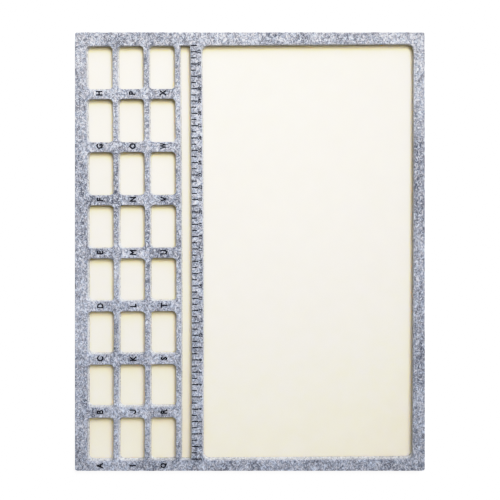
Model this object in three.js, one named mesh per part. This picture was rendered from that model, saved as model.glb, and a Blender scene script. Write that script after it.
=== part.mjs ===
// Bead mat: a die-cut felt panel bonded to a sheet of plush bead cloth.
// The windows in the felt make rows of lettered pockets, a narrow stringing channel beside a printed
// ruler, and one large work area. The cloth is the floor of every window.
// Millimetres. X runs along the ruler, Y from the user's edge to the back row of pockets, Z up.
// The origin is the middle of the underside.
import * as THREE from "three";

// Thickness of the three layers, from the table up.
const CLOTH_THICKNESS = 3;
const WEB_THICKNESS = 0.2;
const FELT_THICKNESS = 5;

// Sizes along X.
const END_RAIL = 9.7;
const POCKETS_PER_ROW = 8;
const POCKET_LENGTH = 35.1;
const CROSS_BAR = 8;

// Sizes along Y, from the back edge to the user's edge.
const BACK_RAIL = 9.9;
const POCKET_ROWS = 3;
const POCKET_WIDTH = 21.6;
const ROW_BAR = 3.75;
const CHANNEL_BAR = 3.7;
const CHANNEL_WIDTH = 8.8;
const RULER_BAR = 9;
const WORK_WIDTH = 171.2;
const FRONT_RAIL = 9.4;

// Corner radii in plan.
const OUTER_RADIUS = 1.8;
const POCKET_RADIUS = 3.4;
const CHANNEL_RADIUS = 0.4;
const WORK_RADIUS = 5;
const ARC_STEPS = 3;

// Every window starts and ends on the same two lines, so the pocket row sets the length.
const pocketPitch = POCKET_LENGTH + CROSS_BAR;
const windowLength = POCKETS_PER_ROW * pocketPitch - CROSS_BAR;
const matLength = windowLength + 2 * END_RAIL;

const rowPitch = POCKET_WIDTH + ROW_BAR;
const rowsDepth = POCKET_ROWS * rowPitch - ROW_BAR;
const matWidth =
  BACK_RAIL + rowsDepth + CHANNEL_BAR + CHANNEL_WIDTH + RULER_BAR + WORK_WIDTH + FRONT_RAIL;

// Back edge of each group of windows.
const rowsBack = matWidth / 2 - BACK_RAIL;
const channelBack = rowsBack - rowsDepth - CHANNEL_BAR;
const workBack = channelBack - CHANNEL_WIDTH - RULER_BAR;

// Draws a rounded rectangle, counter-clockwise, on a shape or a hole.
function drawRoundedRectangle(path, left, front, length, width, radius) {
  const right = left + length;
  const back = front + width;
  path.moveTo(left + radius, front);
  path.lineTo(right - radius, front);
  path.absarc(right - radius, front + radius, radius, -Math.PI / 2, 0);
  path.lineTo(right, back - radius);
  path.absarc(right - radius, back - radius, radius, 0, Math.PI / 2);
  path.lineTo(left + radius, back);
  path.absarc(left + radius, back - radius, radius, Math.PI / 2, Math.PI);
  path.lineTo(left, front + radius);
  path.absarc(left + radius, front + radius, radius, Math.PI, 1.5 * Math.PI);
  return path;
}

// The trimmed edge that all the layers share.
function matOutline() {
  const outline = new THREE.Shape();
  return drawRoundedRectangle(
    outline, -matLength / 2, -matWidth / 2, matLength, matWidth, OUTER_RADIUS,
  );
}

// One window of the die, given by its left end, back edge and size.
function dieWindow(left, back, length, width, radius) {
  return drawRoundedRectangle(new THREE.Path(), left, back - width, length, width, radius);
}

// The outline with every window cut: the pockets row by row, the channel and the work area.
function dieCutOutline() {
  const outline = matOutline();
  const left = -windowLength / 2;
  for (let row = 0; row < POCKET_ROWS; row += 1) {
    for (let place = 0; place < POCKETS_PER_ROW; place += 1) {
      const pocketLeft = left + place * pocketPitch;
      const pocketBack = rowsBack - row * rowPitch;
      outline.holes.push(
        dieWindow(pocketLeft, pocketBack, POCKET_LENGTH, POCKET_WIDTH, POCKET_RADIUS),
      );
    }
  }
  outline.holes.push(
    dieWindow(left, channelBack, windowLength, CHANNEL_WIDTH, CHANNEL_RADIUS),
    dieWindow(left, workBack, windowLength, WORK_WIDTH, WORK_RADIUS),
  );
  return outline;
}

// A flat layer of the laminate, lying with its underside at the given height.
function layer(name, outline, thickness, height, material) {
  const geometry = new THREE.ExtrudeGeometry(outline, {
    depth: thickness,
    bevelEnabled: false,
    curveSegments: ARC_STEPS,
  });
  const mesh = new THREE.Mesh(geometry, material);
  mesh.name = name;
  mesh.position.z = height;
  return mesh;
}

const plush = new THREE.MeshStandardMaterial({ color: 0xf6f2e4, roughness: 0.95, metalness: 0 });
const glue = new THREE.MeshStandardMaterial({ color: 0xe4e2da, roughness: 0.5, metalness: 0 });
const felt = new THREE.MeshStandardMaterial({ color: 0xa9adb9, roughness: 1, metalness: 0 });

const mat = new THREE.Group();
mat.add(
  layer("bead_cloth", matOutline(), CLOTH_THICKNESS, 0, plush),
  layer("adhesive_web", dieCutOutline(), WEB_THICKNESS, CLOTH_THICKNESS, glue),
  layer("felt_panel", dieCutOutline(), FELT_THICKNESS, CLOTH_THICKNESS + WEB_THICKNESS, felt),
);

export default mat;
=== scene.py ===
# Bead mat: a panel of grey marl felt with die-cut windows, bonded over a sheet of cream plush bead
# cloth.
# Metres, in the part's own frame: X along the ruler, Y from the user's edge to the back row of
# pockets, Z up.
import math
from collections import namedtuple

import bmesh
import bpy
import numpy as np
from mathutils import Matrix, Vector, geometry, noise
from mathutils.bvhtree import BVHTree


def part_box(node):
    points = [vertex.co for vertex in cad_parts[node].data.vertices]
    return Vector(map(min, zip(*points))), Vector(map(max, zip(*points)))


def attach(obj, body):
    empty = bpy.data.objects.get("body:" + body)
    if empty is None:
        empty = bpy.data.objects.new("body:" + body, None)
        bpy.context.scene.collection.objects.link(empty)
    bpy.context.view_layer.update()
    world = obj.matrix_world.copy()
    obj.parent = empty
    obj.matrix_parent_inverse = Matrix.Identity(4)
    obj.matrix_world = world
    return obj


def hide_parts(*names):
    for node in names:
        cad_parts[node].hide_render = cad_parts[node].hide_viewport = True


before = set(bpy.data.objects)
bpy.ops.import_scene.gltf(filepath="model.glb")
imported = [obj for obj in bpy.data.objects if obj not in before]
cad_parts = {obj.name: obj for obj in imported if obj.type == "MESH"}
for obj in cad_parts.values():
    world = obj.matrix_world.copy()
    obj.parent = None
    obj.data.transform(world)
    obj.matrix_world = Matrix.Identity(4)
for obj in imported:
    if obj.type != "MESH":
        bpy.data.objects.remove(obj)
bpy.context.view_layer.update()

MM = 0.001

# Reading the die pattern: points this close are one point, a face with a smaller normal along Z is
# a wall, and places that agree to this many digits are the same.
WELD = 1e-6
WALL_NORMAL = 0.5
SAME_DIGITS = 5

# Meshing a sheet: the share of the spacing that inner points keep from its edges, the share of the
# step by which the middle of a triangle may pass an edge, and the tolerance of the triangles.
INNER_CLEARANCE = 0.6
EDGE_TOLERANCE = 0.1
FILL_TOLERANCE = 1e-9
# Spacing of the underside of a sheet and of the web, and the steps of a quarter round.
UNDERSIDE_STEP = 6.0 * MM
WEB_STEP = 2.5 * MM
ROUND_STEPS = (0.0, 0.5, 1.0)
# How far the start of a ripple moves along Y for a step of its seed.
RIPPLE_SKEW = 1.7

# Felt: spacing of its mesh, softness of its cut edges, hollow of its cut walls and the levels up a
# wall.
FELT_STEP = 1.0 * MM
FELT_EDGE_ROUND = 0.22 * MM
FELT_DISH = 0.3 * MM
FELT_WALL_LEVELS = 5
# Its surface relief, and how ragged its edges are along X and along Y: depth, and (wavelength,
# seed, share) of each ripple.
FELT_RELIEF = 0.07 * MM
FELT_RELIEF_RIPPLES = ((3.4 * MM, 23.0, 1.0), (1.5 * MM, 31.0, 0.6), (30 * MM, 41.0, 1.0))
FELT_RAGGED = 0.11 * MM
FELT_RAGGED_RIPPLES = (
    ((2.6 * MM, 3.0, 1.0), (1.3 * MM, 5.0, 0.6)),
    ((2.6 * MM, 11.0, 1.0), (1.3 * MM, 13.0, 0.6)),
)

# The soft felt has drifted from the straight die pattern. The bars bow along Y by a constant, a
# share of X and a share of X squared. The front rail has moved by a constant and drifts back
# towards its low end. The windows have slipped along X by a share of their distance from the work
# area's front edge, and have spread at their low ends.
BAR_BOW = (-0.2 * MM, 2.73e-3, 2.6e-5 / MM)
FRONT_DRIFT = (-0.3 * MM, 1.0 * MM)
WINDOW_SLIP = -6.3e-3
LOW_END_SPREAD = 0.5 * MM
LOW_END_REACH = 20 * MM
# The foot of the cut walls stands this far from the edge of the face, along X and Y.
WALL_LEAN = np.array([1.05 * MM, -0.75 * MM])

# Bead cloth: spacing of its mesh, softness of its trimmed edge, and the relief of its nap: depth,
# how far it is sunk on the whole, its swing, and (wavelength, seed, share) of each ripple.
CLOTH_STEP = 1.8 * MM
CLOTH_EDGE_ROUND = 0.9 * MM
CLOTH_RELIEF = 0.12 * MM
CLOTH_RELIEF_SUNK = 0.5
CLOTH_RELIEF_SWING = 0.29
CLOTH_RELIEF_RIPPLES = ((5 * MM, 51.0, 1.0), (19 * MM, 61.0, 0.7))
# How far it swells in the windows, where the felt doesn't press on it, how far from the felt walls
# a painted shade makes it darker and yellower, and over what span and reach a painted shadow,
# darker and yellower still, lies along the high end of each window.
CLOTH_SWELL = 0.3 * MM
CLOTH_SWELL_REACH = 2.4 * MM
CLOTH_WALL_SHADE_REACH = 6.0 * MM
CLOTH_HIGH_END_SHADOW_SPAN = 2.5 * MM
CLOTH_HIGH_END_SHADOW_REACH = 4.0 * MM
# Names of the cloth's measures of painted shade near the felt walls and of painted shadow along the
# high end of each window.
WALL_SHADE = "wall_shade"
HIGH_END_SHADOW = "high_end_shadow"

# Loose fibres along the cut edges of the felt: how many to a metre, their length and thickness, how
# much thinner they are half-way, their sides, and how far they are rooted in the felt.
FUZZ_PER_METRE = 2400
FUZZ_LENGTH = 1.5 * MM
FUZZ_RADIUS = 0.06 * MM
FUZZ_TAPER = 0.8
FUZZ_SIDES = 3
FUZZ_ROOT = 0.25 * MM
# The share of the wall that they stand on, from the face down, how much they point away from the
# wall, the way they are brushed, how much they stray from it and how much they bend.
FUZZ_DOWN_WALL = 0.75
FUZZ_OUTWARD = (0.4, 1.0)
FUZZ_BRUSH = np.array([0.5, -0.35, 0.15])
FUZZ_STRAY = 0.35
FUZZ_BEND = 0.25
FUZZ_SEED = 7

# Letters on the felt: height, how much bolder than the plain face, greatest width, share of the
# plain width, and how far each row is moved along Y and all of them along X.
LETTERS = "ABCDEFGHIJKLMNOPQRSTUVWX"
LETTER_HEIGHT = 5.4 * MM
LETTER_WEIGHT = 0.33 * MM
LETTER_WIDEST = 4.9 * MM
LETTER_NARROW = 0.84
LETTER_ROW_SHIFT = (0.2 * MM, -1.2 * MM, -0.85 * MM)
LETTER_RISE = 0.7 * MM
# The J is a U whose first stem is cut at this share of its height.
HOOK_HEIGHT = 0.35
# Ruler: its steps, how far it is moved along X, its ticks and its numbers.
RULER_STEP = 5.0 * MM
RULER_STEPS = 67
RULER_SHIFT = 0.7 * MM
TICK_WIDTH = 1.0 * MM
TICK_START = 0.4 * MM
WHOLE_TICK = 5.2 * MM
HALF_TICK = 4.0 * MM
NUMBER_HEIGHT = 2.7 * MM
NUMBER_WEIGHT = 0.14 * MM
NUMBER_WIDEST = 4.4 * MM
NUMBER_INSET = 0.5 * MM
# Meshing the print: steps of a curve and tolerances in the units of the face, then the grid on
# which the ink follows the felt, the tolerance of its cuts, how far the ink stands off the felt and
# how thick it is.
GLYPH_CURVE_STEPS = 3
GLYPH_WELD = 1e-3
GLYPH_TOLERANCE = 1e-6
INK_GRID = 0.5 * MM
INK_GRID_WELD = 1e-7
INK_LIFT = 0.03 * MM
INK_DEPTH = 0.08 * MM

# Materials. Sizes of noise are in millimetres, colours of three numbers are 8-bit display colours,
# tints of four are factors, and a bump is a strength and a depth.
# Most of a noise lies in this range.
NOISE_RANGE = (0.3, 0.7)

# Fibres of the marl: how close and how wide their bends are, the ways they lie in degrees, how far
# apart their noises start, their length and width, and the noise at which a light and a dark fibre
# starts and is full.
FIBRE_BEND_SCALE = 0.22
FIBRE_BEND = 5.0
FIBRE_WAYS = (4, 38, 95, 149)
FIBRE_START = (37.0, 11.0, 5.0)
FIBRE_SIZE = (3.4, 0.9, 0.9)
FIBRE_LIGHT_RANGE = (0.53, 0.71)
FIBRE_DARK_RANGE = (0.46, 0.29)

# Felt: its ground from dark to pale, its light and dark fibres and how much they cover.
FELT_GROUND = ((79, 84, 99), (174, 179, 191))
FELT_LIGHT = (222, 227, 238)
FELT_DARK = (56, 61, 76)
FELT_COVER = 0.75
# How pale its ground is: small clumps and broad patches, both drawn out along X, and a darker band
# across it.
FELT_STRETCH = (0.4, 1, 1)
FELT_CLUMP_SIZE = 3.5
FELT_CLUMP_PALE = (0.0, 0.55)
FELT_CLOUD_SIZE = 18.0
FELT_CLOUD_SEED = 73025.0
FELT_CLOUD_RANGE = (0.33, 0.67)
FELT_CLOUD_PALE = (-0.09, 0.54)
FELT_BAND_X = 40.0 * MM
FELT_BAND_HALF = 42.0 * MM
FELT_BAND_EDGE = (0.75, 1.25)
FELT_BAND_PALE = (-0.17, 0.03)
# Its tints: of single spots, and from its low end to its high end.
FELT_SPOT_SIZE = 2.2
FELT_SPOT_TINTS = ((0.95, 1.0, 1.05, 1), (1.05, 1.0, 0.95, 1))
FELT_TINT_REACH = 170.0 * MM
FELT_END_TINTS = ((0.985, 1.0, 1.045, 1), (1.01, 0.98, 0.94, 1))
FELT_BUMP = (0.5, 0.15 * MM)
FELT_SURFACE = {
    "Roughness": 0.95,
    "Specular IOR Level": 0.15,
    "Sheen Weight": 0.15,
    "Sheen Roughness": 0.6,
}

# Pale nap of the bead cloth on the window walls, in millimetres, partly painted light: walls that face
# the key towards +X, and less so those that face along Y, get more and paler nap than walls in shade.
# Its colour, and how ragged its upper limit is.
NAP_COLOUR = (230, 230, 228)
NAP_RAGGED_SIZE = 1.1
NAP_RAGGED = 2.4
# How much a wall that faces along Y counts as one that faces +X, and the normals that face -X and
# +X in full.
NAP_SIDEWAYS = 0.7
NAP_FACING = (-0.8, 0.8)
# How much higher it reaches on walls that face +X, towards the key, how far above the foot of the felt
# it starts to thin, how far below the face it ends, and how much it covers on shaded walls that face -X
# and on lit walls that face +X, which paints light on the lit walls.
NAP_LIFT = 1.2
NAP_THINS = 1.2
NAP_ENDS = 0.8
NAP_COVER_SHADED_AND_LIT = (0.2, 0.72)
# Its speckle, and how far inside the outline it starts.
NAP_SPECKLE_SIZE = 1.3
NAP_SPECKLE_RANGE = (0.36, 0.58)
NAP_SPECKLE = (0.2, 1.0)
NAP_MARGIN = 4

# Bead cloth: its ground and how broad its shading is, its nap and the painted shade that darkens the
# nap's hollows, and its tints of painted shade near the felt walls and of painted shadow at the high end of
# each window.
CLOTH_GROUND = ((239, 233, 216), (242, 236, 221))
CLOTH_SHADE_SIZE = 14.0
CLOTH_NAP_SIZE = 0.8
CLOTH_HOLLOW_SHADE = (210, 198, 170)
CLOTH_HOLLOW_SHADE_COVER = (0.12, 0.0)
# Tints of painted shade near the felt walls and of painted shadow along the high end of each window.
CLOTH_WALL_SHADE_TINT = (0.895, 0.877, 0.83, 1)
CLOTH_HIGH_END_SHADOW_TINT = (0.94, 0.91, 0.74, 1)
CLOTH_BUMP = (0.6, 0.2 * MM)
CLOTH_SURFACE = {
    "Roughness": 0.95,
    "Specular IOR Level": 0.1,
    "Sheen Weight": 0.1,
    "Sheen Roughness": 0.5,
    "Subsurface Weight": 0.7,
    "Subsurface Radius": (1.0, 0.97, 0.55),
    "Subsurface Scale": 1.5 * MM,
}

# Loose fibres, ink from full to worn, and the adhesive web.
FUZZ_COLOURS = ((150, 155, 172), (226, 229, 240))
FUZZ_TINT_SIZE = 0.8
FUZZ_TINT_RANGE = (0.35, 0.65)
FUZZ_SURFACE = {"Roughness": 0.9, "Specular IOR Level": 0.15}
INK_COLOURS = ((16, 17, 26), (70, 73, 86))
INK_WORN_SIZE = 0.6
INK_WORN_RANGE = (0.55, 0.8)
INK_BUMP = (0.5, 0.1 * MM)
INK_SURFACE = {"Roughness": 0.85, "Specular IOR Level": 0.2}
GLUE_COLOURS = ((206, 204, 194), (232, 229, 218))
GLUE_CLOUD_SIZE = 1.2
GLUE_SURFACE = {"Roughness": 0.6}

# Stage: a white floor.
FLOOR_REACH = 3.0
FLOOR_SURFACE = {
    "Base Color": (0.85, 0.85, 0.85, 1),
    "Roughness": 0.9,
    "Emission Color": (1, 1, 1, 1),
    "Emission Strength": 1.0,
}
# Key light: size, spread in degrees, power, colour, place and the point that it faces.
KEY_SIZE = (0.65, 0.42)
KEY_SPREAD = 140
KEY_POWER = 6.05
KEY_COLOUR = (0.985, 1.0, 1.04)
KEY_PLACE = (0.35, -0.15, 0.6)
KEY_AIM = (0.03, 0.45, 0)
# Room: colour and strength at the horizon and overhead, and the heights between which each changes.
ROOM_COLOURS = ((1, 1, 1, 1), (1.0, 0.905, 0.76, 1))
ROOM_COLOUR_HEIGHTS = (0.1, 0.4)
ROOM_STRENGTHS = (1.0, 0.22)
ROOM_STRENGTH_HEIGHTS = (0.05, 0.3)
# The photograph: 500 pixels across, taken from straight above with its top towards +X.
FRAME_WIDTH_ON_FELT = 405.6 * MM
CAMERA_HEIGHT = 430.0 * MM
CAMERA_X = 1.22 * MM
CAMERA_Y = -0.12 * MM
CAMERA_NEAR = 0.01
# Soft shoulder of the tone curve: scene brightness and the brightness shown. The curve is the one
# for all colours.
TONE_WHITE = 2.0
TONE_CURVE = 3
TONE_POINTS = (
    (0.36, 0.36),
    (0.72, 0.72),
    (0.83, 0.805),
    (1.045, 0.88),
    (1.23, 0.93),
    (1.34, 0.955),
    (1.7, 1.0),
)

Cut = namedtuple("Cut", "x0 y0 x1 y1 radius")
Pattern = namedtuple("Pattern", "outline work channel pockets")


# Die pattern, read from the frame


def edge_loops(edges):
    """The closed loops of vertices that a set of edges makes."""
    waiting = set(edges)
    loops = []
    while waiting:
        edge = waiting.pop()
        first, last = edge.verts
        loop = [first]
        while last != first:
            loop.append(last)
            edge = next(e for e in last.link_edges if e in waiting)
            waiting.remove(edge)
            last = edge.other_vert(last)
        loops.append(loop)
    return loops


def rounded_rectangle(loop):
    """The rounded rectangle that a loop of vertices draws."""
    xs = [v.co.x for v in loop]
    ys = [v.co.y for v in loop]
    front = min(ys)
    radius = min(v.co.x for v in loop if v.co.y - front < WELD) - min(xs)
    return Cut(min(xs), front, max(xs), max(ys), radius)


def pattern_of(node):
    """The outline of a flat node and its windows, told apart by their areas; the pockets lie row by
    row from the back."""
    bm = bmesh.new()
    bm.from_mesh(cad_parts[node].data)
    bmesh.ops.remove_doubles(bm, verts=bm.verts, dist=WELD)
    top = max(v.co.z for v in bm.verts)
    rim = [
        e
        for e in bm.edges
        if all(top - v.co.z < WELD for v in e.verts)
        and any(abs(f.normal.z) < WALL_NORMAL for f in e.link_faces)
    ]
    cuts = [rounded_rectangle(loop) for loop in edge_loops(rim)]
    bm.free()
    outline, work, channel, *pockets = sorted(cuts, key=lambda c: (c.x0 - c.x1) * (c.y1 - c.y0))
    pockets.sort(key=lambda c: (-round(c.y1, SAME_DIGITS), c.x0))
    return Pattern(outline, work, channel, pockets)


def windows_of(pattern):
    return [pattern.work, pattern.channel, *pattern.pockets]


def distance_outside(points, cut):
    """How far each point lies outside a rounded rectangle, negative inside it."""
    centre = np.array([cut.x0 + cut.x1, cut.y0 + cut.y1]) / 2
    half = np.array([cut.x1 - cut.x0, cut.y1 - cut.y0]) / 2
    past = np.abs(points - centre) - half + cut.radius
    beyond = np.linalg.norm(np.maximum(past, 0), axis=1)
    return beyond + np.minimum(past.max(axis=1), 0) - cut.radius


def depth_in_sheet(points, outline, windows):
    """How deep each point lies inside a sheet, from its nearest cut edge; negative in a window or outside."""
    depth = -distance_outside(points, outline)
    for window in windows:
        depth = np.minimum(depth, distance_outside(points, window))
    return depth


def drift(points, pattern):
    """How far points of the straight die pattern have moved in the soft felt; its outline stays straight."""
    x, y = points[:, 0], points[:, 1]
    outline, work = pattern.outline, pattern.work
    rail = work.y0 - outline.y0
    inside = np.clip(-distance_outside(points, outline) / rail, 0, 1)
    to_front = np.clip((work.y1 - y) / (work.y1 - work.y0), 0, 1)
    to_low_end = (work.x1 - x) / (work.x1 - work.x0)
    bars = BAR_BOW[0] + BAR_BOW[1] * x + BAR_BOW[2] * x**2
    front = FRONT_DRIFT[0] + FRONT_DRIFT[1] * to_low_end**2
    spread = LOW_END_SPREAD * np.clip(1 - (x - work.x0) / LOW_END_REACH, 0, 1)
    slip = WINDOW_SLIP * (y - work.y0) - spread
    move = np.column_stack([slip, bars + (front - bars) * to_front])
    return move * inside[:, None]


def trace(cut, step):
    """Points round a rounded rectangle, about a step apart, and the outward direction at each."""
    corners = [
        (cut.x1 - cut.radius, cut.y0 + cut.radius),
        (cut.x1 - cut.radius, cut.y1 - cut.radius),
        (cut.x0 + cut.radius, cut.y1 - cut.radius),
        (cut.x0 + cut.radius, cut.y0 + cut.radius),
    ]
    arc_steps = max(2, round(cut.radius * math.pi / 2 / step))
    points, directions = [], []
    for k, corner in enumerate(corners):
        for i in range(arc_steps + 1):
            angle = (k - 1 + i / arc_steps) * math.pi / 2
            direction = np.array([math.cos(angle), math.sin(angle)])
            points.append(np.array(corner) + cut.radius * direction)
            directions.append(direction)
        start = points[-1]
        end = np.array(corners[(k + 1) % 4]) + cut.radius * directions[-1]
        side_steps = max(1, round(np.linalg.norm(end - start) / step))
        for i in range(1, side_steps):
            points.append(start + (end - start) * i / side_steps)
            directions.append(directions[-1])
    return np.array(points), np.array(directions)


# Sheets


def new_piece(name, mesh):
    """An object of a mesh, in the scene."""
    piece = bpy.data.objects.new(name, mesh)
    bpy.context.scene.collection.objects.link(piece)
    return piece


def smooth_piece(name, vertices, faces):
    """A smooth piece of an array of vertices and a list of faces."""
    mesh = bpy.data.meshes.new(name)
    mesh.from_pydata(vertices.tolist(), [], faces)
    mesh.shade_smooth()
    return new_piece(name, mesh)


def hexagonal_grid(cut, step):
    """Points of a triangular lattice over a rectangle."""
    rows = np.arange(cut.y0, cut.y1, step * math.sqrt(3) / 2)
    columns = np.arange(cut.x0, cut.x1, step)
    x, y = np.meshgrid(columns, rows)
    x[1::2] += step / 2
    return np.column_stack([x.ravel(), y.ravel()])


def fill(rings, inner, keep):
    """Triangles between closed rings of points, with loose inner points; keep says which middles to fill."""
    points = np.vstack([*rings, inner])
    edges = []
    start = 0
    for ring in rings:
        count = len(ring)
        edges += [(start + i, start + (i + 1) % count) for i in range(count)]
        start += count
    flat = [Vector(p) for p in points]
    _, _, triangles, sources, _, _ = geometry.delaunay_2d_cdt(flat, edges, [], 0, FILL_TOLERANCE)
    first = np.array([s[0] for s in sources])
    triangles = first[np.array(triangles)]
    return triangles[keep(points[triangles].mean(axis=1))]


def sheet_mesh(name, outline, windows, low, high, profile, step):
    """A closed sheet with windows. profile lists (depth into the sheet, height above low) from the bottom
    edge to the top edge of its wall; step is the spacing of the top face and the walls."""
    vertices, faces, tops, bottoms, top_places, bottom_places = [], [], [], [], [], []
    count = 0
    for cut in (outline, *windows):
        points, outward = trace(cut, step)
        inward = -outward if cut is outline else outward
        size = len(points)
        for depth, height in profile:
            ring = points + inward * depth
            vertices.append(np.column_stack([ring, np.full(size, low + height)]))
        bottoms.append(points + inward * profile[0][0])
        tops.append(points + inward * profile[-1][0])
        bottom_places.append(count + np.arange(size))
        top_places.append(count + (len(profile) - 1) * size + np.arange(size))
        for level in range(len(profile) - 1):
            for i in range(size):
                a = count + level * size + i
                b = count + level * size + (i + 1) % size
                quad = (a, b, b + size, a + size)
                faces.append(quad if cut is outline else quad[::-1])
        count += size * len(profile)
    for rings, places, edge, spacing, upward in (
        (tops, top_places, profile[-1][0], step, True),
        (bottoms, bottom_places, profile[0][0], UNDERSIDE_STEP, False),
    ):
        inner = hexagonal_grid(outline, spacing)
        inner = inner[depth_in_sheet(inner, outline, windows) > edge + INNER_CLEARANCE * spacing]
        limit = edge - EDGE_TOLERANCE * step
        triangles = fill(rings, inner, lambda m: depth_in_sheet(m, outline, windows) > limit)
        place = np.concatenate([*places, count + np.arange(len(inner))])
        triangles = place[triangles]
        faces += [tuple(t) if upward else tuple(t[::-1]) for t in triangles.tolist()]
        vertices.append(np.column_stack([inner, np.full(len(inner), high if upward else low)]))
        count += len(inner)
    return smooth_piece(name, np.vstack(vertices), faces)


def points_of(piece):
    """The vertices of a piece as an array."""
    flat = np.empty(3 * len(piece.data.vertices))
    piece.data.vertices.foreach_get("co", flat)
    return flat.reshape(-1, 3)


def move_points(piece, points):
    piece.data.vertices.foreach_set("co", points.ravel())
    piece.data.update()


def ripple(points, wavelength, seed):
    """Smooth noise from -1 to 1 at each point, with the given wavelength."""
    start = Vector((seed, RIPPLE_SKEW * seed, -seed))
    return np.array([noise.noise(Vector(p) / wavelength + start) for p in points])


def ripples(points, waves):
    """The sum of the ripples that waves lists as (wavelength, seed, share)."""
    return sum(share * ripple(points, wavelength, seed) for wavelength, seed, share in waves)


def quarter_round(radius):
    """Steps of a quarter round, from its foot on the wall to its top edge."""
    turns = [t * math.pi / 2 for t in ROUND_STEPS]
    return [(radius * (1 - math.cos(t)), radius * math.sin(t)) for t in turns]


def felt_wall(height):
    """Profile of the felt's cut wall: hollowed by the die, with a soft edge at the face."""
    straight = height - FELT_EDGE_ROUND
    levels = FELT_WALL_LEVELS
    hollow = [(FELT_DISH * math.sin(math.pi * i / levels), straight * i / levels) for i in range(levels)]
    return hollow + [(depth, straight + rise) for depth, rise in quarter_round(FELT_EDGE_ROUND)]


def cloth_wall(height):
    """Profile of the cloth's trimmed edge, rounded at both faces."""
    upper = quarter_round(CLOTH_EDGE_ROUND)
    lower = [(depth, CLOTH_EDGE_ROUND - rise) for depth, rise in reversed(upper)]
    return lower + [(depth, height - CLOTH_EDGE_ROUND + rise) for depth, rise in upper]


def make_felt(pattern, low, high):
    """The felt panel: leaning cut walls with a slightly ragged edge, and a needled, uneven face."""
    wall = felt_wall(high - low)
    piece = sheet_mesh("felt_panel_marl", pattern.outline, windows_of(pattern), low, high, wall, FELT_STEP)
    rest = points_of(piece)
    share = ((rest[:, 2] - low) / (high - low))[:, None]
    points = rest.copy()
    points[:, :2] += drift(rest[:, :2], pattern) + WALL_LEAN * (1 - share)
    ragged = [ripples(rest, waves) for waves in FELT_RAGGED_RIPPLES]
    points[:, :2] += FELT_RAGGED * share * np.column_stack(ragged)
    points[:, 2] += FELT_RELIEF * share[:, 0] * ripples(rest, FELT_RELIEF_RIPPLES)
    move_points(piece, points)
    return piece


def make_fuzz(pattern, low, high):
    """Loose fibres that stand out from the felt's cut edges, most near its face, each a bent spindle."""
    rng = np.random.default_rng(FUZZ_SEED)
    roots, ways = [], []
    for cut in (pattern.outline, *windows_of(pattern)):
        points, outward = trace(cut, 1 / FUZZ_PER_METRE)
        roots.append(points)
        ways.append(outward if cut is pattern.outline else -outward)
    roots, ways = np.vstack(roots), np.vstack(ways)
    count = len(roots)
    share = 1 - FUZZ_DOWN_WALL * rng.random(count) ** 2
    place = roots + drift(roots, pattern) + WALL_LEAN * (1 - share)[:, None] - FUZZ_ROOT * ways
    start = np.column_stack([place, low + (high - low) * share - FELT_EDGE_ROUND / 2])
    way = np.column_stack([ways, np.zeros(count)]) * rng.uniform(*FUZZ_OUTWARD, (count, 1))
    way += FUZZ_BRUSH + rng.normal(0, FUZZ_STRAY, (count, 3))
    way /= np.linalg.norm(way, axis=1)[:, None]
    length = (FUZZ_ROOT + FUZZ_LENGTH * rng.random(count) ** 2)[:, None]
    bend = rng.normal(0, FUZZ_BEND, (count, 3))
    middle = start + 0.5 * length * way
    tip = middle + 0.5 * length * (way + bend)
    side = np.cross(way, rng.normal(0, 1, (count, 3)))
    side /= np.linalg.norm(side, axis=1)[:, None]
    other = np.cross(way, side)
    turns = [2 * math.pi * k / FUZZ_SIDES for k in range(FUZZ_SIDES)]
    corners = [FUZZ_RADIUS * (math.cos(t) * side + math.sin(t) * other) for t in turns]
    spindle = [*(start + c for c in corners), *(middle + FUZZ_TAPER * c for c in corners), tip]
    vertices = np.stack(spindle, axis=1).reshape(-1, 3)
    fibre_faces = [tuple(reversed(range(FUZZ_SIDES)))]
    for k in range(FUZZ_SIDES):
        after = (k + 1) % FUZZ_SIDES
        fibre_faces.append((k, after, FUZZ_SIDES + after, FUZZ_SIDES + k))
        fibre_faces.append((FUZZ_SIDES + k, FUZZ_SIDES + after, 2 * FUZZ_SIDES))
    size = len(spindle)
    faces = [tuple(size * i + corner for corner in face) for i in range(count) for face in fibre_faces]
    return smooth_piece("felt_fuzz", vertices, faces)


def make_web(pattern, low, high):
    """The adhesive web under the felt, cut with it."""
    wall = [(0.0, 0.0), (0.0, high - low)]
    piece = sheet_mesh("adhesive_web_film", pattern.outline, windows_of(pattern), low, high, wall, WEB_STEP)
    points = points_of(piece)
    points[:, :2] += drift(points[:, :2], pattern) + WALL_LEAN
    move_points(piece, points)
    return piece


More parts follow.
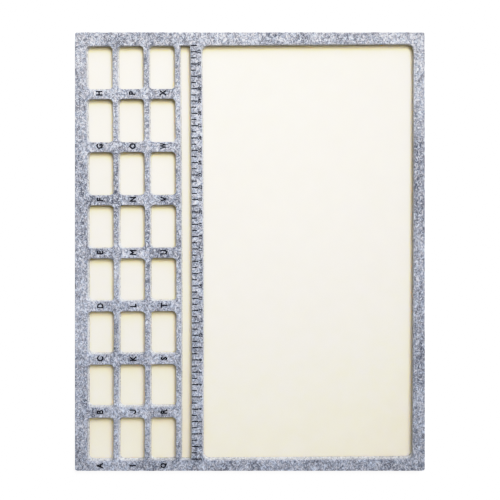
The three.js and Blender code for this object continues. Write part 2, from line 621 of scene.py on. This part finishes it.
def make_cloth(pattern, low, high):
    """The bead cloth: a soft sheet that swells a little in the windows, with a faintly uneven nap."""
    wall = cloth_wall(high - low)
    piece = sheet_mesh("bead_cloth_plush", pattern.outline, [], low, high, wall, CLOTH_STEP)
    points = points_of(piece)
    nap = ripples(points, CLOTH_RELIEF_RIPPLES)
    upper = points[:, 2] > (low + high) / 2
    in_pattern = points[:, :2] - drift(points[:, :2], pattern)
    reach = -depth_in_sheet(in_pattern, pattern.outline, windows_of(pattern))
    # Painted shade: darker and yellower near the felt walls and in narrow windows; painted shadow along the
    # high end of each window.
    wall_shade, high_end_shadow = np.ones(len(points)), np.zeros(len(points))
    for window in windows_of(pattern):
        here = distance_outside(in_pattern, window) < CLOTH_HIGH_END_SHADOW_SPAN
        near = np.maximum(reach[here], 0)
        far = min(window.x1 - window.x0, window.y1 - window.y0) - near
        near_walls = np.exp(-near / CLOTH_WALL_SHADE_REACH) + np.exp(-far / CLOTH_WALL_SHADE_REACH)
        wall_shade[here] = np.minimum(near_walls, 1) ** 2
        past = np.maximum(window.x1 - CLOTH_HIGH_END_SHADOW_SPAN - in_pattern[here, 0], 0)
        high_end_shadow[here] = np.exp(-past / CLOTH_HIGH_END_SHADOW_REACH)
    for name, values in ((WALL_SHADE, wall_shade), (HIGH_END_SHADOW, high_end_shadow)):
        piece.data.attributes.new(name, "FLOAT", "POINT").data.foreach_set("value", values)
    points[:, 2] += np.where(upper, -1, 1) * CLOTH_RELIEF * (CLOTH_RELIEF_SUNK + CLOTH_RELIEF_SWING * nap)
    # The swell starts and ends level: a smooth step over its reach.
    free = np.clip(reach * upper / CLOTH_SWELL_REACH, 0, 1)
    points[:, 2] += CLOTH_SWELL * free**2 * (3 - 2 * free)
    move_points(piece, points)
    return piece


# Print


def covered(places, polygon):
    """Which places lie in a convex polygon drawn counter-clockwise."""
    inside = np.ones(len(places), bool)
    for start, end in zip(polygon, np.roll(polygon, -1, axis=0)):
        along, off = end - start, places - start
        inside &= along[0] * off[:, 1] >= along[1] * off[:, 0]
    return inside


def thickened(bm, weight):
    """A flat bmesh grown by a weight on every side: its faces and a strip along each outer edge, as one."""
    polygons = [np.array([v.co.xy for v in face.verts]) for face in bm.faces]
    for edge in bm.edges:
        if edge.is_boundary:
            start, end = (np.array(v.co.xy) for v in edge.verts)
            along = (end - start) * weight / np.linalg.norm(end - start)
            across = np.array([-along[1], along[0]])
            low, high = start - along, end + along
            polygons.append(np.array((low - across, high - across, high + across, low + across)))
    bm.free()
    faces = []
    count = 0
    for polygon in polygons:
        faces.append(list(range(count, count + len(polygon))))
        count += len(polygon)
    corners = [Vector(corner) for corner in np.vstack(polygons)]
    places, _, triangles, *_ = geometry.delaunay_2d_cdt(corners, [], faces, 0, GLYPH_TOLERANCE)
    middles = np.array(places)[np.array(triangles)].mean(axis=1)
    inked = np.any([covered(middles, polygon) for polygon in polygons], axis=0)
    grown = bmesh.new()
    vertices = [grown.verts.new((*place, 0)) for place in places]
    for triangle, inside in zip(triangles, inked):
        if inside:
            grown.faces.new([vertices[i] for i in triangle])
    for vertex in vertices:
        if not vertex.link_faces:
            grown.verts.remove(vertex)
    return grown


def text_mesh(text):
    """A flat bmesh of a text in the plain built-in face, in its own units."""
    curve = bpy.data.curves.new("glyph", "FONT")
    curve.body = text
    curve.resolution_u = GLYPH_CURVE_STEPS
    writer = new_piece("glyph", curve)
    flat = bpy.data.meshes.new_from_object(writer.evaluated_get(bpy.context.evaluated_depsgraph_get()))
    bpy.data.objects.remove(writer)
    bpy.data.curves.remove(curve)
    bm = bmesh.new()
    bm.from_mesh(flat)
    bpy.data.meshes.remove(flat)
    bmesh.ops.remove_doubles(bm, verts=bm.verts, dist=GLYPH_WELD)
    return bm


def corners_of(bm):
    """The low and the high corner of the box round a bmesh."""
    places = np.array([v.co for v in bm.verts])
    return Vector(places.min(axis=0)), Vector(places.max(axis=0))


def parts_of(bm):
    return [*bm.verts, *bm.edges, *bm.faces]


def hooked_letter():
    """A J that stands on the line like the other capitals: a U without the upper part of its first stem."""
    bm = text_mesh("U")
    low, high = corners_of(bm)
    stem, cut = low.lerp(high, 0.5).x, low.lerp(high, HOOK_HEIGHT).y
    for place, across in (((stem, 0, 0), (1, 0, 0)), ((0, cut, 0), (0, 1, 0))):
        bmesh.ops.bisect_plane(bm, geom=parts_of(bm), plane_co=place, plane_no=across)
    middles = {face: face.calc_center_median() for face in bm.faces}
    unwanted = [face for face, middle in middles.items() if middle.x < stem and middle.y > cut]
    bmesh.ops.delete(bm, geom=unwanted, context="FACES")
    return bm


def glyph_mesh(text, height, weight, widest, narrow=1.0):
    """A flat bmesh of a text, upright along +Y, centred, bold, narrowed, of a height and at most a width."""
    bm = hooked_letter() if text == "J" else text_mesh(text)
    low, high = corners_of(bm)
    scale = (height - 2 * weight) / (high.y - low.y)
    bmesh.ops.translate(bm, verts=bm.verts, vec=-(low + high) / 2)
    bold = thickened(bm, weight / scale)
    width = (high.x - low.x) * scale + 2 * weight
    bmesh.ops.scale(bold, verts=bold.verts, vec=(scale * min(narrow, widest / width), scale, scale))
    return bold


def bar_mesh(length, width):
    """A flat bmesh of a straight tick that runs from the origin towards -Y."""
    bm = bmesh.new()
    corners = [(-width / 2, -length), (width / 2, -length), (width / 2, 0), (-width / 2, 0)]
    bm.faces.new([bm.verts.new((x, y, 0)) for x, y in corners])
    return bm


def grid_cut(bm, step):
    """Cuts a flat bmesh along a square grid, so that it can follow the felt."""
    for axis in (0, 1):
        low = min(v.co[axis] for v in bm.verts)
        high = max(v.co[axis] for v in bm.verts)
        for i in range(1, math.ceil((high - low) / step)):
            place, across = Vector((0, 0, 0)), Vector((0, 0, 0))
            place[axis] = low + i * step
            across[axis] = 1
            bmesh.ops.bisect_plane(
                bm, geom=parts_of(bm), dist=INK_GRID_WELD, plane_co=place, plane_no=across
            )


def print_on_felt(name, marks, felt, pattern):
    """One piece of ink: marks lists (flat bmesh, x, y), each laid on the felt as a thin closed film."""
    surface = BVHTree.FromPolygons(
        [v.co.copy() for v in felt.data.vertices], [tuple(p.vertices) for p in felt.data.polygons]
    )
    above = max(v.co.z for v in felt.data.vertices) + MM
    whole = bmesh.new()
    for bm, x, y in marks:
        grid_cut(bm, INK_GRID)
        bmesh.ops.recalc_face_normals(bm, faces=bm.faces)
        if sum(f.normal.z for f in bm.faces) < 0:
            bmesh.ops.reverse_faces(bm, faces=bm.faces)
        move = drift(np.array([[x, y]]), pattern)[0]
        for vertex in bm.verts:
            vertex.co.x += x + move[0]
            vertex.co.y += y + move[1]
            hit = surface.ray_cast(Vector((vertex.co.x, vertex.co.y, above)), Vector((0, 0, -1)))[0]
            vertex.co.z = hit.z + INK_LIFT
        top = list(bm.faces)
        under = bmesh.ops.extrude_face_region(bm, geom=top)["geom"]
        for vertex in (g for g in under if isinstance(g, bmesh.types.BMVert)):
            vertex.co.z -= INK_DEPTH
        bmesh.ops.recalc_face_normals(bm, faces=bm.faces)
        mesh = bpy.data.meshes.new("mark")
        bm.to_mesh(mesh)
        bm.free()
        whole.from_mesh(mesh)
        bpy.data.meshes.remove(mesh)
    ink = bpy.data.meshes.new(name)
    whole.to_mesh(ink)
    whole.free()
    return new_piece(name, ink)


def make_letters(felt, pattern):
    """One letter on the bar or rail at the low end of each pocket, row by row from the back."""
    pockets = pattern.pockets
    columns = sorted({round(p.x0, SAME_DIGITS) for p in pockets})
    rows = sorted({round(p.y1, SAME_DIGITS) for p in pockets}, reverse=True)
    pocket_length = pockets[0].x1 - pockets[0].x0
    bar = columns[1] - columns[0] - pocket_length
    first_rail = columns[0] - pattern.outline.x0
    marks = []
    for i, letter in enumerate(LETTERS):
        row, place = divmod(i, len(columns))
        x = columns[place] - (first_rail if place == 0 else bar) / 2 + LETTER_RISE
        y = rows[row] - (pockets[0].y1 - pockets[0].y0) / 2 + LETTER_ROW_SHIFT[row]
        glyph = glyph_mesh(letter, LETTER_HEIGHT, LETTER_WEIGHT, LETTER_WIDEST, LETTER_NARROW)
        marks.append((glyph, x, y))
    return print_on_felt("letter_ink", marks, felt, pattern)


def make_ruler(felt, pattern):
    """Half-centimetre ticks from the channel's edge, and a number beside each whole centimetre."""
    start = RULER_SHIFT - RULER_STEPS * RULER_STEP / 2
    tick_y = pattern.channel.y0 - TICK_START
    number_y = pattern.work.y1 + NUMBER_INSET + NUMBER_HEIGHT / 2
    ticks, numbers = [], []
    for i in range(RULER_STEPS + 1):
        long_tick = i % 2 == 0 or i == RULER_STEPS
        x = start + i * RULER_STEP
        ticks.append((bar_mesh(WHOLE_TICK if long_tick else HALF_TICK, TICK_WIDTH), x, tick_y))
        if i % 2 == 0:
            glyph = glyph_mesh(str(i // 2), NUMBER_HEIGHT, NUMBER_WEIGHT, NUMBER_WIDEST)
            numbers.append((glyph, x, number_y))
    tick_ink = print_on_felt("ruler_tick_ink", ticks, felt, pattern)
    return tick_ink, print_on_felt("ruler_number_ink", numbers, felt, pattern)


# Materials


def srgb(red, green, blue):
    """Linear colour of an 8-bit display colour."""
    def channel(value):
        v = value / 255
        return v / 12.92 if v <= 0.04045 else ((v + 0.055) / 1.055) ** 2.4
    return (channel(red), channel(green), channel(blue), 1.0)


def fill_socket(tree, socket, value):
    """Sets an input socket to a value, or links it to an output socket."""
    if isinstance(value, bpy.types.NodeSocket):
        tree.links.new(value, socket)
    else:
        socket.default_value = value


def add(tree, kind, inputs=None, **settings):
    """A new shader node with its settings and its inputs."""
    made = tree.nodes.new(kind)
    for key, value in settings.items():
        setattr(made, key, value)
    for key, value in (inputs or {}).items():
        fill_socket(tree, made.inputs[key], value)
    return made


def math_node(tree, operation, a, b=0.0):
    return add(tree, "ShaderNodeMath", {0: a, 1: b}, operation=operation).outputs[0]


def vector_node(tree, operation, a, b):
    return add(tree, "ShaderNodeVectorMath", {0: a, 1: b}, operation=operation).outputs[0]


def axes_of(tree, vector):
    return add(tree, "ShaderNodeSeparateXYZ", {0: vector}).outputs


def mix_colour(tree, share, a, b, blend="MIX"):
    """A colour between two, or the first one multiplied by a share of the second."""
    made = add(tree, "ShaderNodeMix", data_type="RGBA", blend_type=blend)
    for key, value in (("Factor_Float", share), ("A_Color", a), ("B_Color", b)):
        fill_socket(tree, next(s for s in made.inputs if s.identifier == key), value)
    return next(s for s in made.outputs if s.identifier == "Result_Color")


def ramp(tree, value, low, high, bottom=0.0, top=1.0):
    """A clamped straight ramp of a value from low..high to bottom..top."""
    inputs = {"Value": value, "From Min": low, "From Max": high, "To Min": bottom, "To Max": top}
    return add(tree, "ShaderNodeMapRange", inputs, clamp=True).outputs[0]


def noise_value(tree, place, size, detail, roughness=0.5, seed=None):
    """Noise with features of the given size, in the units of place; a seed gives another pattern."""
    inputs = {"Vector": place, "Scale": 1 / size, "Detail": detail, "Roughness": roughness}
    settings = {}
    if seed is not None:
        inputs["W"] = seed
        settings["noise_dimensions"] = "4D"
    return add(tree, "ShaderNodeTexNoise", inputs, **settings).outputs["Fac"]


def new_material(name):
    """A material with one surface shader, and its place in millimetres in the part's frame."""
    material = bpy.data.materials.new(name)
    material.use_nodes = True
    tree = material.node_tree
    shader = tree.nodes["Principled BSDF"]
    here = add(tree, "ShaderNodeTexCoord").outputs["Object"]
    place = vector_node(tree, "MULTIPLY", here, (1 / MM, 1 / MM, 1 / MM))
    return material, tree, shader, place


def dress(shader, surface):
    """Sets the values of a surface shader."""
    for key, value in surface.items():
        shader.inputs[key].default_value = value


def emboss(tree, shader, height, bump):
    """Bumps a surface by a height; bump gives the strength and the depth."""
    strength, depth = bump
    made = add(tree, "ShaderNodeBump", {"Height": height, "Strength": strength, "Distance": depth})
    tree.links.new(made.outputs[0], shader.inputs["Normal"])


def fibres(tree, place):
    """Masks of light and of dark fibres: streaks of stretched noise, lying every way and gently bent."""
    bend = add(tree, "ShaderNodeTexNoise", {"Vector": place, "Scale": FIBRE_BEND_SCALE, "Detail": 1.0})
    bend = vector_node(tree, "SUBTRACT", bend.outputs["Color"], (0.5, 0.5, 0.5))
    bend = vector_node(tree, "MULTIPLY", bend, (FIBRE_BEND, FIBRE_BEND, FIBRE_BEND))
    bent = vector_node(tree, "ADD", place, bend)
    light, dark = 0.0, 0.0
    for i, angle in enumerate(FIBRE_WAYS):
        inputs = {
            "Vector": bent,
            "Location": tuple(i * start for start in FIBRE_START),
            "Rotation": (0, 0, math.radians(angle)),
            "Scale": FIBRE_SIZE,
        }
        streak = add(tree, "ShaderNodeMapping", inputs, vector_type="TEXTURE").outputs[0]
        strength = noise_value(tree, streak, size=1.0, detail=1.5, roughness=0.55)
        light = math_node(tree, "MAXIMUM", ramp(tree, strength, *FIBRE_LIGHT_RANGE), light)
        dark = math_node(tree, "MAXIMUM", ramp(tree, strength, *FIBRE_DARK_RANGE), dark)
    return light, dark


def felt_colour(tree, place):
    """Marl of light and dark fibres on a mid grey, with patches drawn out along X: its colour and height."""
    light, dark = fibres(tree, place)
    long_way = vector_node(tree, "MULTIPLY", place, FELT_STRETCH)
    clump = noise_value(tree, long_way, FELT_CLUMP_SIZE, detail=1.0)
    clump = ramp(tree, clump, *NOISE_RANGE, *FELT_CLUMP_PALE)
    cloud = noise_value(tree, long_way, FELT_CLOUD_SIZE, detail=2.0, seed=FELT_CLOUD_SEED)
    cloud = ramp(tree, cloud, *FELT_CLOUD_RANGE, *FELT_CLOUD_PALE)
    x, _, _ = axes_of(tree, place)
    off_band = math_node(tree, "ABSOLUTE", math_node(tree, "SUBTRACT", x, FELT_BAND_X / MM))
    inner, outer = (share * FELT_BAND_HALF / MM for share in FELT_BAND_EDGE)
    band = ramp(tree, off_band, inner, outer, *FELT_BAND_PALE)
    depth = math_node(tree, "ADD", math_node(tree, "ADD", clump, cloud), band)
    ground = mix_colour(tree, depth, *(srgb(*colour) for colour in FELT_GROUND))
    pale = mix_colour(tree, math_node(tree, "MULTIPLY", light, FELT_COVER), ground, srgb(*FELT_LIGHT))
    marl = mix_colour(tree, math_node(tree, "MULTIPLY", dark, FELT_COVER), pale, srgb(*FELT_DARK))
    spots = ramp(tree, noise_value(tree, place, FELT_SPOT_SIZE, detail=1.0), *NOISE_RANGE)
    to_high_end = ramp(tree, x, -FELT_TINT_REACH / MM, FELT_TINT_REACH / MM)
    for share, tints in ((spots, FELT_SPOT_TINTS), (to_high_end, FELT_END_TINTS)):
        marl = mix_colour(tree, 1.0, marl, mix_colour(tree, share, *tints), "MULTIPLY")
    height = math_node(tree, "SUBTRACT", light, dark)
    return marl, height


def nap_and_painted_light_on_walls(tree, place, pattern, low, high):
    """How much pale nap covers the window walls: partly nap from the bead cloth, partly painted light, most
    on walls that face the key and least on shaded walls that face -X.
    """
    x, y, z = axes_of(tree, place)
    ragged = noise_value(tree, place, NAP_RAGGED_SIZE, detail=2.0)
    ragged = math_node(tree, "MULTIPLY", ragged, NAP_RAGGED)
    along, across, _ = axes_of(tree, add(tree, "ShaderNodeNewGeometry").outputs["True Normal"])
    sideways = math_node(tree, "MULTIPLY", math_node(tree, "ABSOLUTE", across), NAP_SIDEWAYS)
    # Painted light: walls that face the key at +X take more pale nap than shaded ones.
    facing_key = ramp(tree, math_node(tree, "MAXIMUM", along, sideways), *NAP_FACING)
    level = math_node(tree, "ADD", z, ragged)
    level = math_node(tree, "SUBTRACT", level, math_node(tree, "MULTIPLY", facing_key, NAP_LIFT))
    nap = ramp(tree, level, low / MM + NAP_THINS, high / MM - NAP_ENDS, 1.0, 0.0)
    nap = math_node(tree, "MULTIPLY", nap, ramp(tree, facing_key, 0.0, 1.0, *NAP_COVER_SHADED_AND_LIT))
    speckle = noise_value(tree, place, NAP_SPECKLE_SIZE, detail=2.0)
    nap = math_node(tree, "MULTIPLY", nap, ramp(tree, speckle, *NAP_SPECKLE_RANGE, *NAP_SPECKLE))
    for axis, edge in ((x, pattern.outline.x1), (y, pattern.outline.y1)):
        within = math_node(tree, "LESS_THAN", math_node(tree, "ABSOLUTE", axis), edge / MM - NAP_MARGIN)
        nap = math_node(tree, "MULTIPLY", nap, within)
    return nap


def felt_material(pattern, low, high):
    """Marl felt with pale nap on its window walls, partly painted light on the walls that face the key."""
    material, tree, shader, place = new_material("felt_marl")
    marl, height = felt_colour(tree, place)
    nap = nap_and_painted_light_on_walls(tree, place, pattern, low, high)
    tree.links.new(mix_colour(tree, nap, marl, srgb(*NAP_COLOUR)), shader.inputs["Base Color"])
    emboss(tree, shader, height, FELT_BUMP)
    dress(shader, FELT_SURFACE)
    return material


def cloth_material():
    """Cream plush with a fine nap and faint broad shading; painted shade darkens the nap's hollows and makes
    it darker and yellower near the felt walls, with a painted shadow along the high end of each window.
    """
    material, tree, shader, place = new_material("plush_cream")
    nap = noise_value(tree, place, CLOTH_NAP_SIZE, detail=3.0, roughness=0.6)
    shade = ramp(tree, noise_value(tree, place, CLOTH_SHADE_SIZE, detail=2.0), *NOISE_RANGE)
    colour = mix_colour(tree, shade, *(srgb(*ground) for ground in CLOTH_GROUND))
    # Painted shade: the nap's hollows, where its bump is low, are darkened.
    hollow = ramp(tree, nap, *NOISE_RANGE, *CLOTH_HOLLOW_SHADE_COVER)
    colour = mix_colour(tree, hollow, colour, srgb(*CLOTH_HOLLOW_SHADE))
    # Painted shade near the felt walls and painted shadow along the high end of each window, multiplied into
    # the colour.
    for name, tint in ((WALL_SHADE, CLOTH_WALL_SHADE_TINT), (HIGH_END_SHADOW, CLOTH_HIGH_END_SHADOW_TINT)):
        share = add(tree, "ShaderNodeAttribute", attribute_name=name).outputs["Fac"]
        colour = mix_colour(tree, share, colour, tint, "MULTIPLY")
    tree.links.new(colour, shader.inputs["Base Color"])
    emboss(tree, shader, nap, CLOTH_BUMP)
    dress(shader, CLOTH_SURFACE)
    return material


def fuzz_material():
    """Loose fibres of the marl, paler than the felt where the light comes through them."""
    material, tree, shader, place = new_material("felt_fibre")
    tint = ramp(tree, noise_value(tree, place, FUZZ_TINT_SIZE, detail=2.0), *FUZZ_TINT_RANGE)
    colour = mix_colour(tree, tint, *(srgb(*shade) for shade in FUZZ_COLOURS))
    tree.links.new(colour, shader.inputs["Base Color"])
    dress(shader, FUZZ_SURFACE)
    return material


def ink_material():
    """Black print that sinks into the felt, so that pale fibres break it up a little."""
    material, tree, shader, place = new_material("print_ink")
    light, _ = fibres(tree, place)
    worn = ramp(tree, noise_value(tree, place, INK_WORN_SIZE, detail=2.0), *INK_WORN_RANGE)
    worn = math_node(tree, "MULTIPLY", worn, light)
    colour = mix_colour(tree, worn, *(srgb(*shade) for shade in INK_COLOURS))
    tree.links.new(colour, shader.inputs["Base Color"])
    emboss(tree, shader, light, INK_BUMP)
    dress(shader, INK_SURFACE)
    return material


def glue_material():
    """Milky adhesive web, showing as a thin line under the felt."""
    material, tree, shader, place = new_material("adhesive_milky")
    cloud = ramp(tree, noise_value(tree, place, GLUE_CLOUD_SIZE, detail=2.0), *NOISE_RANGE)
    colour = mix_colour(tree, cloud, *(srgb(*shade) for shade in GLUE_COLOURS))
    tree.links.new(colour, shader.inputs["Base Color"])
    dress(shader, GLUE_SURFACE)
    return material


# Stage


def make_floor():
    """A plain white floor that glows a little, so that it stays pale under the mat's shadow."""
    low, high = -FLOOR_REACH, FLOOR_REACH
    corners = [(low, low, 0), (high, low, 0), (high, high, 0), (low, high, 0)]
    mesh = bpy.data.meshes.new("floor")
    mesh.from_pydata(corners, [], [(0, 1, 2, 3)])
    floor = new_piece("floor", mesh)
    material = bpy.data.materials.new("floor_white")
    material.use_nodes = True
    dress(material.node_tree.nodes["Principled BSDF"], FLOOR_SURFACE)
    mesh.materials.append(material)


def make_lights():
    """One broad soft light beyond the mat's far end, and a dim warm room that is white near the horizon."""
    light = bpy.data.lights.new("key", "AREA")
    light.shape = "RECTANGLE"
    light.size, light.size_y = KEY_SIZE
    light.spread = math.radians(KEY_SPREAD)
    light.energy = KEY_POWER
    light.color = KEY_COLOUR
    key = new_piece("key", light)
    key.location = KEY_PLACE
    key.rotation_euler = (Vector(KEY_AIM) - key.location).to_track_quat("-Z", "Y").to_euler()

    world = bpy.data.worlds.new("studio")
    world.use_nodes = True
    tree = world.node_tree
    height = axes_of(tree, add(tree, "ShaderNodeTexCoord").outputs["Generated"])[2]
    colour = mix_colour(tree, ramp(tree, height, *ROOM_COLOUR_HEIGHTS), *ROOM_COLOURS)
    strength = ramp(tree, height, *ROOM_STRENGTH_HEIGHTS, *ROOM_STRENGTHS)
    background = tree.nodes["Background"]
    tree.links.new(colour, background.inputs["Color"])
    tree.links.new(strength, background.inputs["Strength"])
    bpy.context.scene.world = world


def make_camera(felt_top):
    """The camera straight above the mat, with the photograph's framing and a soft tone curve."""
    scene = bpy.context.scene
    camera = new_piece("camera", bpy.data.cameras.new("camera"))
    camera.data.sensor_fit = "HORIZONTAL"
    camera.data.angle = 2 * math.atan(FRAME_WIDTH_ON_FELT / 2 / CAMERA_HEIGHT)
    camera.data.clip_start = CAMERA_NEAR
    camera.location = (CAMERA_X, CAMERA_Y, felt_top + CAMERA_HEIGHT)
    camera.rotation_euler = (0, 0, -math.pi / 2)
    scene.camera = camera

    settings = scene.view_settings
    settings.view_transform = "Standard"
    settings.use_curve_mapping = True
    mapping = settings.curve_mapping
    mapping.white_level = (TONE_WHITE, TONE_WHITE, TONE_WHITE)
    curve = mapping.curves[TONE_CURVE]
    for scene_value, shown in TONE_POINTS:
        curve.points.new(scene_value / TONE_WHITE, shown)
    for point in curve.points:
        point.handle_type = "AUTO_CLAMPED"
    mapping.update()


# Assembly

pattern = pattern_of("felt_panel")
felt_low, felt_high = (corner.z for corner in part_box("felt_panel"))
web_low, web_high = (corner.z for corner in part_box("adhesive_web"))
cloth_low, cloth_high = (corner.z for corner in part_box("bead_cloth"))

felt = make_felt(pattern, felt_low, felt_high)
fuzz = make_fuzz(pattern, felt_low, felt_high)
web = make_web(pattern, web_low, web_high)
cloth = make_cloth(pattern, cloth_low, cloth_high)
letters = make_letters(felt, pattern)
ticks, numbers = make_ruler(felt, pattern)

felt.data.materials.append(felt_material(pattern, felt_low, felt_high))
fuzz.data.materials.append(fuzz_material())
web.data.materials.append(glue_material())
cloth.data.materials.append(cloth_material())
ink = ink_material()
for piece in (letters, ticks, numbers):
    piece.data.materials.append(ink)

make_floor()
make_lights()
make_camera(felt_high)

slots = {
    felt: "felt",
    fuzz: "felt",
    web: "glue",
    cloth: "cloth",
    letters: "felt",
    ticks: "felt",
    numbers: "felt",
}
for piece, slot in slots.items():
    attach(piece, "root")
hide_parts("felt_panel")
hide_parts("adhesive_web")
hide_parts("bead_cloth")
